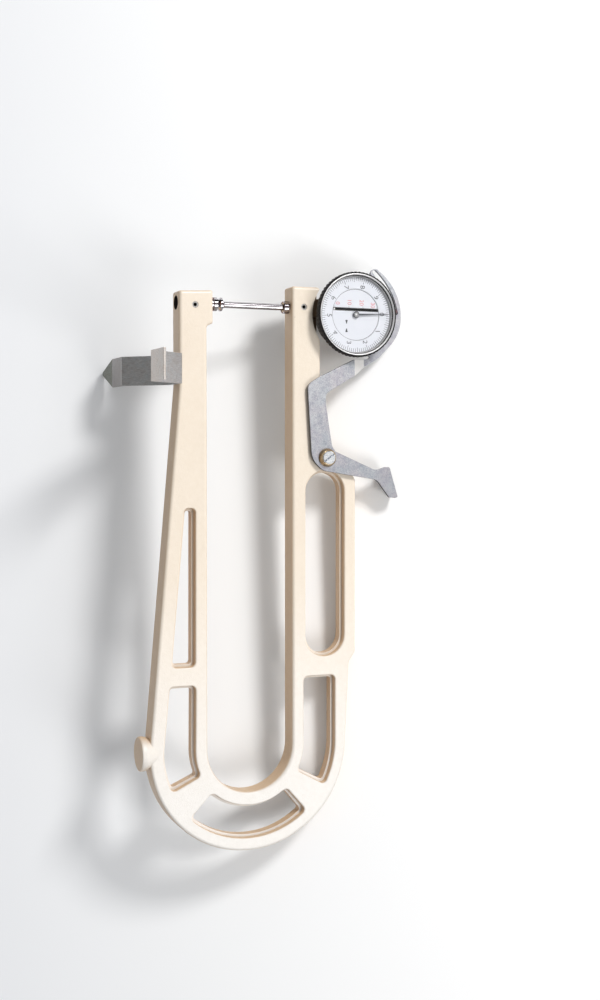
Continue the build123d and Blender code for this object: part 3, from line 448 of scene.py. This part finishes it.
MAT = {
    "frame_paint": frame_paint(),
    "rolled_steel": rolled_steel(),
    "bracket_steel": bracket_steel(),
    "chromed_steel": chromed_steel(),
    "bright_steel": bright_steel(),
    "wall_steel": bright_steel("wall_steel", 0.30, 0.38, 0.38, 0.5),
    "hub_steel": bright_steel("hub_steel", 0.42, 0.56, 0.16, 0.26),
    "ring_steel": bright_steel("ring_steel", 0.78, 0.86, 0.42, 0.52),
    "dark_screw": dark_screw(),
    "pivot_steel": pivot_steel(),
    "brass": brass(),
    "case_black": black_finish("case_black", (0.018, 0.014, 0.011), (0.032, 0.026, 0.021), 0.26, 0.40, 0.012),
    "bezel_black": black_finish("bezel_black", (0.006, 0.005, 0.006), (0.014, 0.012, 0.013), 0.50, 0.62, 0.015, 0.22),
    "pointer_dark": black_finish("pointer_dark", (0.035, 0.038, 0.045), (0.060, 0.064, 0.075), 0.30, 0.42, 0.004),
    "marker_white": ink("marker_white", (0.78, 0.78, 0.78), (0.86, 0.86, 0.85)),
    "dial_white": dial_white(),
    "ink_black": ink("ink_black", (0.020, 0.021, 0.026), (0.035, 0.036, 0.043)),
    "ink_grey": ink("ink_grey", (0.050, 0.052, 0.062), (0.085, 0.088, 0.10)),
    "ink_red": ink("ink_red", (0.46, 0.018, 0.026), (0.56, 0.032, 0.040)),
    "slot_black": ink("slot_black", (0.004, 0.004, 0.005), (0.008, 0.008, 0.009)),
    "clear_crystal": clear_crystal(),
}

FINISH = {
    "frame_casting": "frame_paint",
    "lifting_lever": "rolled_steel",
    "stand_bracket": "bracket_steel",
    "anvil": "chromed_steel", "contact_tip": "chromed_steel", "spindle_with_rack": "chromed_steel", "stem": "chromed_steel",
    "anvil_lock_screw": "dark_screw", "stem_lock_screw": "dark_screw", "anvil_adjusting_screw": "case_black",
    "bracket_screws": "dark_screw", "back_cover_screws": "bright_steel", "movement_screws": "bright_steel",
    "lever_pivot_screw": "pivot_steel", "lever_pivot_bush": "brass", "lever_spacer_washer": "brass",
    "stem_bush": "brass", "upper_guide_bush": "bright_steel", "arbor_bush": "brass",
    "spindle_end_cap": "bright_steel", "lift_pin": "chromed_steel",
    "dial_case": "case_black", "case_back_cover": "case_black",
    "bezel": "bezel_black", "bezel_retaining_wire": "bright_steel", "crystal_spacer_ring": "wall_steel",
    "crystal": "clear_crystal", "dial_scale_ring": "dial_white", "dial_centre": "dial_white",
    "pointer": "pointer_dark", "pointer_hub": "hub_steel",
    "marker_carrier": "brass", "travel_marker": "marker_white",
    "pinion_arbor": "bright_steel", "rear_bridge": "brass", "bridge_pillars": "brass", "movement_plate": "brass",
    "plate_spacers": "brass", "dial_posts": "brass", "return_spring": "bright_steel", "spring_collet": "brass", "spring_stud": "bright_steel",
}
for name, obj in nodes.items():
    obj.data.materials.clear()
    obj.data.materials.append(MAT[FINISH.get(name, "bright_steel")])


# ------------------------------------------------------------------ mesh helpers
def place(bm, name, mat, body):
    """Finish a mesh drawn in plate millimetres and let it ride on a body."""
    bm.transform(LAY)
    bmesh.ops.recalc_face_normals(bm, faces=bm.faces)
    me = bpy.data.meshes.new(name)
    bm.to_mesh(me)
    bm.free()
    ob = bpy.data.objects.new(name, me)
    bpy.context.scene.collection.objects.link(ob)
    me.materials.append(MAT[mat])
    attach(ob, body)
    return ob


def smooth(ob, angle):
    """Smooth shading across edges flatter than angle degrees."""
    me = ob.data
    for p in me.polygons:
        p.use_smooth = True
    bm = bmesh.new()
    bm.from_mesh(me)
    for e in bm.edges:
        if len(e.link_faces) == 2:
            e.smooth = e.calc_face_angle(0.0) < radians(angle)
    bm.to_mesh(me)
    bm.free()


def lathe(profile, segments, wave=None):
    """Closed (radius, z) profile turned round the dial's axis. wave(angle, corner) is added to the radius."""
    bm = bmesh.new()
    rings = []
    for s in range(segments):
        a = 2 * pi * s / segments
        ring = []
        for k, (r, z) in enumerate(profile):
            q = r + (wave(a, k) if wave else 0.0)
            ring.append(bm.verts.new((DIAL_X + q * cos(a), DIAL_Y + q * sin(a), z)))
        rings.append(ring)
    n = len(profile)
    for s in range(segments):
        a, b = rings[s], rings[(s + 1) % segments]
        for k in range(n):
            bm.faces.new((a[k], b[k], b[(k + 1) % n], a[(k + 1) % n]))
    return bm


def prism(bm, corners, z0, z1):
    """Closed slab over an (x, y) outline."""
    low = [bm.verts.new((x, y, z0)) for x, y in corners]
    top = [bm.verts.new((x, y, z1)) for x, y in corners]
    n = len(corners)
    bm.faces.new(list(reversed(low)))
    bm.faces.new(top)
    for i in range(n):
        bm.faces.new((low[i], low[(i + 1) % n], top[(i + 1) % n], top[i]))


def on_dial(r, deg):
    return (DIAL_X + r * cos(radians(deg)), DIAL_Y + r * sin(radians(deg)))


# ------------------------------------------------------------------ bezel: knurled black ring and bright inner ring
KNURLS = 64


def knurl(a, k):
    """Shallow rounded flutes on the grip band, fading out at its two edges."""
    depth = {3: 0.12, 4: 0.38, 5: 0.46, 6: 0.46, 7: 0.42, 8: 0.16}.get(k, 0.0)
    return -depth * (0.5 + 0.5 * cos(KNURLS * a)) ** 1.4


body = [(24.58, 11.0), (25.6, 11.0), (25.6, 13.5),
        (26.85, 13.8), (27.36, 14.3), (27.4, 15.4), (27.4, 16.6), (27.38, 17.6), (27.16, 18.15),
        (26.86, 18.45), (26.47, 18.58), (26.18, 18.56), (26.12, 18.40), (26.12, 17.45), (25.5, 17.45), (25.5, 16.7),
        (24.72, 16.7), (24.72, 13.8), (23.6, 13.8), (23.6, 13.15), (24.58, 13.15)]
ring = place(lathe(body, KNURLS * 8, knurl), "bezel_knurled_ring", "bezel_black", "bezel")
smooth(ring, 42)
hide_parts("bezel")

inner = [(26.08, 17.5), (26.08, 18.30), (26.00, 18.42), (25.88, 18.46), (25.74, 18.40), (25.36, 18.06), (25.26, 17.94), (25.24, 17.76), (25.52, 17.74), (25.52, 17.5)]
trim = place(lathe(inner, 256), "bezel_bright_ring", "ring_steel", "bezel")
smooth(trim, 35)

# ------------------------------------------------------------------ printing on the scale ring (turns with the bezel)
ZERO = 3.0
bm = bmesh.new()
for i in range(100):
    a = radians(ZERO - 3.6 * i)
    r0, w = (20.4, 0.30) if i % 10 == 0 else (21.0, 0.30) if i % 5 == 0 else (21.6, 0.28)
    r1 = 23.85
    ux, uy = cos(a), sin(a)
    pts = [(DIAL_X + r * ux - t * uy, DIAL_Y + r * uy + t * ux) for r, t in ((r0, -w / 2), (r1, -w / 2), (r1, w / 2), (r0, w / 2))]
    prism(bm, pts, FACE_Z - 0.01, FACE_Z + 0.02)
place(bm, "dial_graduations", "ink_grey", "bezel")


def glyphs(text, height, widen, weight):
    """The outline of plain figures as a mesh, height mm tall, centred, in its own X and Y."""
    cu = bpy.data.curves.new("figures", "FONT")
    cu.body = text
    cu.size = 1.0
    cu.align_x = "CENTER"
    cu.offset = weight
    cu.extrude = 0.01
    cu.resolution_u = 6
    ob = bpy.data.objects.new("figures", cu)
    bpy.context.scene.collection.objects.link(ob)
    bpy.context.view_layer.update()
    me = bpy.data.meshes.new_from_object(ob.evaluated_get(bpy.context.evaluated_depsgraph_get()))
    bm = bmesh.new()
    bm.from_mesh(me)
    bmesh.ops.remove_doubles(bm, verts=bm.verts, dist=1e-5)
    bpy.data.objects.remove(ob)
    bpy.data.curves.remove(cu)
    bpy.data.meshes.remove(me)
    xs = [v.co.x for v in bm.verts]
    ys = [v.co.y for v in bm.verts]
    cx, cy, h = (min(xs) + max(xs)) / 2, (min(ys) + max(ys)) / 2, max(ys) - min(ys)
    for v in bm.verts:
        v.co = Vector(((v.co.x - cx) / h * height * widen, (v.co.y - cy) / h * height, v.co.z))
    return bm


def add_text(target, text, x, y, z, height, widen=1.0, weight=0.0):
    """Figures laid on the dial with their tops towards +X, as on a dial read from the side."""
    g = glyphs(text, height, widen, weight)
    base = {}
    for v in g.verts:
        # figure right is -Y, figure up is +X
        base[v] = target.verts.new((x + v.co.y, y - v.co.x, z + (0.02 if v.co.z > 0 else -0.01)))
    for f in g.faces:
        target.faces.new([base[v] for v in f.verts])
    g.free()


bm = bmesh.new()
for n in range(10):
    x, y = on_dial(18.5, ZERO - 36 * n)
    add_text(bm, str(n), x, y, FACE_Z, 3.1, 1.12, -0.002)
place(bm, "dial_numbers", "ink_black", "bezel")

# ------------------------------------------------------------------ printing on the centre (fixed)
bm = bmesh.new()
for text, x, y in (("0", 56.8, 2.6), ("10", 65.1, 3.3), ("20", 73.6, 3.5), ("30", 81.6, 2.2)):
    add_text(bm, text, x, y, CENTRE_Z, 2.75, 0.95, -0.012)
place(bm, "travel_numbers", "ink_red", "root" if "root" in frame["bodies"] else "frame")
ROOT = "root" if "root" in frame["bodies"] else "frame"

bm = bmesh.new()
for x in (54.75, 64.65, 74.55, 84.45):
    prism(bm, [(x - 0.1, SLOT_Y + 0.95), (x + 0.1, SLOT_Y + 0.95), (x + 0.1, SLOT_Y + 2.05), (x - 0.1, SLOT_Y + 2.05)], CENTRE_Z - 0.01, CENTRE_Z + 0.02)
# pair of arrowheads that point at each other
for y0, s in ((-9.1, -1), (-14.5, 1)):
    prism(bm, [(63.0 - 0.85, y0 - s * 1.2), (63.0 + 0.85, y0 - s * 1.2), (63.0 + 0.22, y0 + s * 1.2), (63.0 - 0.22, y0 + s * 1.2)][::(1 if s > 0 else -1)],
          CENTRE_Z - 0.01, CENTRE_Z + 0.02)
place(bm, "travel_marks", "ink_black", ROOT)

# thin printed circle at the rim of the centre
seg = 180
bm = bmesh.new()
rows = []
for s in range(seg):
    a = 360.0 * s / seg
    rows.append([bm.verts.new((*on_dial(r, a), z)) for r, z in ((16.20, CENTRE_Z - 0.01), (16.20, CENTRE_Z + 0.02), (16.42, CENTRE_Z + 0.02), (16.42, CENTRE_Z - 0.01))])
for s in range(seg):
    a, b = rows[s], rows[(s + 1) % seg]
    for k in range(4):
        bm.faces.new((a[k], b[k], b[(k + 1) % 4], a[(k + 1) % 4]))
place(bm, "dial_circle_line", "ink_grey", ROOT)

# black frame in the travel slot that shows as the bar of the scale: a black rim on the face round the slot, and black
# walls down into the slot that paint its depth as shade
x0, x1, h = 54.1, 85.1, 0.7
bm = bmesh.new()
outer = [(x0, SLOT_Y - h), (x1, SLOT_Y - h), (x1, SLOT_Y + h), (x0, SLOT_Y + h)]
w = 0.06
inn = [(x0 + w, SLOT_Y - h + w), (x1 - w, SLOT_Y - h + w), (x1 - w, SLOT_Y + h - w), (x0 + w, SLOT_Y + h - w)]
flange = [(x0 - 0.3, SLOT_Y - h - 0.38), (x1 + 0.3, SLOT_Y - h - 0.38), (x1 + 0.3, SLOT_Y + h + 0.34), (x0 - 0.3, SLOT_Y + h + 0.34)]
TOP, LOW = CENTRE_Z + 0.03, 6.2
loops = []
for pts, z in ((outer, LOW), (outer, CENTRE_Z + 0.005), (flange, CENTRE_Z + 0.005), (flange, TOP), (inn, TOP), (inn, LOW)):
    loops.append([bm.verts.new((x, y, z)) for x, y in pts])
for i in range(len(loops)):
    a, b = loops[i], loops[(i + 1) % len(loops)]
    for k in range(4):
        bm.faces.new((a[k], a[(k + 1) % 4], b[(k + 1) % 4], b[k]))
place(bm, "travel_slot_rim_and_shade", "slot_black", ROOT)

# ------------------------------------------------------------------ table, light and camera
def floor_material():
    m, nt, b = material("table_top")
    tc = nt.nodes.new("ShaderNodeTexCoord")
    n = noise(nt, tc.outputs["Object"], 1.3, 3.0)
    cloud = ramp(nt, n, [(0.3, (0.98, 0.98, 0.98)), (0.7, (1.0, 1.0, 1.0))])
    x, y, z = parts_of(nt, tc.outputs["Object"])
    # painted shade: a little darker on the left, by position on the table
    across = ramp(nt, span(nt, x, -0.19, 0.16, 0.0, 1.0), [(0.0, (0.83, 0.84, 0.86)), (0.5, (0.86, 0.865, 0.87)), (1.0, (0.88, 0.88, 0.88))])
    nt.links.new(blend_colour(nt, across, cloud, 1.0, "MULTIPLY"), b.inputs["Base Color"])
    b.inputs["Roughness"].default_value = 0.75
    b.inputs["Specular IOR Level"].default_value = 0.25
    return m


bm = bmesh.new()
bmesh.ops.create_grid(bm, x_segments=8, y_segments=8, size=1.4)
me = bpy.data.meshes.new("table_top")
bm.to_mesh(me)
bm.free()
table = bpy.data.objects.new("table_top", me)
table.location = (0, 0, -0.0002)
bpy.context.scene.collection.objects.link(table)
me.materials.append(floor_material())


def area(name, target, direction, distance, size, power, colour, size_y=None):
    d = Vector(direction).normalized()
    li = bpy.data.lights.new(name, "AREA")
    li.shape = "RECTANGLE" if size_y else "DISK"
    li.size = size
    if size_y:
        li.size_y = size_y
    li.energy = power
    li.color = colour
    ob = bpy.data.objects.new(name, li)
    ob.location = Vector(target) + d * distance
    ob.rotation_mode = "QUATERNION"
    ob.rotation_quaternion = d.to_track_quat("Z", "Y")
    bpy.context.scene.collection.objects.link(ob)
    return ob


area("key_light", (0, 0, 0.03), (0.52, 0.60, 0.62), 1.5, 0.32, 15.8, (1.0, 0.99, 0.975))
area("soft_box", (0, 0, 0.03), (0.65, -0.40, 0.69), 1.4, 0.46, 7.2, (1.0, 0.992, 0.98), 0.60)

world = bpy.data.worlds.new("studio")
world.use_nodes = True
nt = world.node_tree
nt.nodes.clear()
wout = nt.nodes.new("ShaderNodeOutputWorld")
bg = nt.nodes.new("ShaderNodeBackground")
seen = nt.nodes.new("ShaderNodeBackground")
mix = nt.nodes.new("ShaderNodeMixShader")
path = nt.nodes.new("ShaderNodeLightPath")
tc = nt.nodes.new("ShaderNodeTexCoord")
px, py, pz = parts_of(nt, tc.outputs["Generated"])
side = span(nt, px, -1.0, 1.0, 0.30, 0.78)
# darker towards the two ends of the table, open on the right
ends = calc(nt, "ABSOLUTE", py, 0.0)
low = span(nt, pz, 0.02, 0.40, 1.0, 0.0)
shade = calc(nt, "MULTIPLY", calc(nt, "MULTIPLY", span(nt, ends, 0.45, 0.85, 0.0, 1.0), low), 0.80)
level = calc(nt, "MULTIPLY", side, calc(nt, "SUBTRACT", 1.0, shade))
# dark bands in the surroundings, which draw thin dark lines along round bright parts


def band(value, centre, half):
    off = calc(nt, "ABSOLUTE", calc(nt, "SUBTRACT", value, centre), 0.0)
    return span(nt, off, half, half + 0.03, 1.0, 0.0)


flags = calc(nt, "MAXIMUM", band(py, 0.20, 0.07), calc(nt, "MAXIMUM", band(py, -0.74, 0.05), band(py, 0.85, 0.05)))
flags = calc(nt, "MULTIPLY", flags, span(nt, px, 0.2, 0.3, 0.0, 0.93))
level = calc(nt, "MULTIPLY", level, calc(nt, "SUBTRACT", 1.0, flags))
nt.links.new(level, bg.inputs["Strength"])
bg.inputs["Color"].default_value = (0.965, 0.98, 1.0, 1.0)
seen.inputs["Color"].default_value = (0.93, 0.935, 0.945, 1.0)
seen.inputs["Strength"].default_value = 1.0
nt.links.new(path.outputs["Is Camera Ray"], mix.inputs[0])
nt.links.new(bg.outputs[0], mix.inputs[1])
nt.links.new(seen.outputs[0], mix.inputs[2])
nt.links.new(mix.outputs[0], wout.inputs[0])
bpy.context.scene.world = world
bpy.context.scene.view_settings.view_transform = "Standard"

# camera: straight above, turned a little, as solved from the outline in the photograph
fit = Matrix.Rotation(radians(1.72), 3, "X") @ Matrix.Rotation(radians(22.12), 3, "Y")
turn = TURN.to_3x3() @ fit.transposed()
eye = PLACE - turn @ (Vector((-34.0, 123.1, -855.4)) * 0.001)
cam_data = bpy.data.cameras.new("camera")
cam_data.sensor_width = 36.0
cam_data.lens = 48.6
cam_data.clip_start, cam_data.clip_end = 0.05, 60.0
cam = bpy.data.objects.new("camera", cam_data)
cam.matrix_world = Matrix.Translation(eye) @ turn.to_4x4()
bpy.context.scene.collection.objects.link(cam)
bpy.context.scene.camera = cam
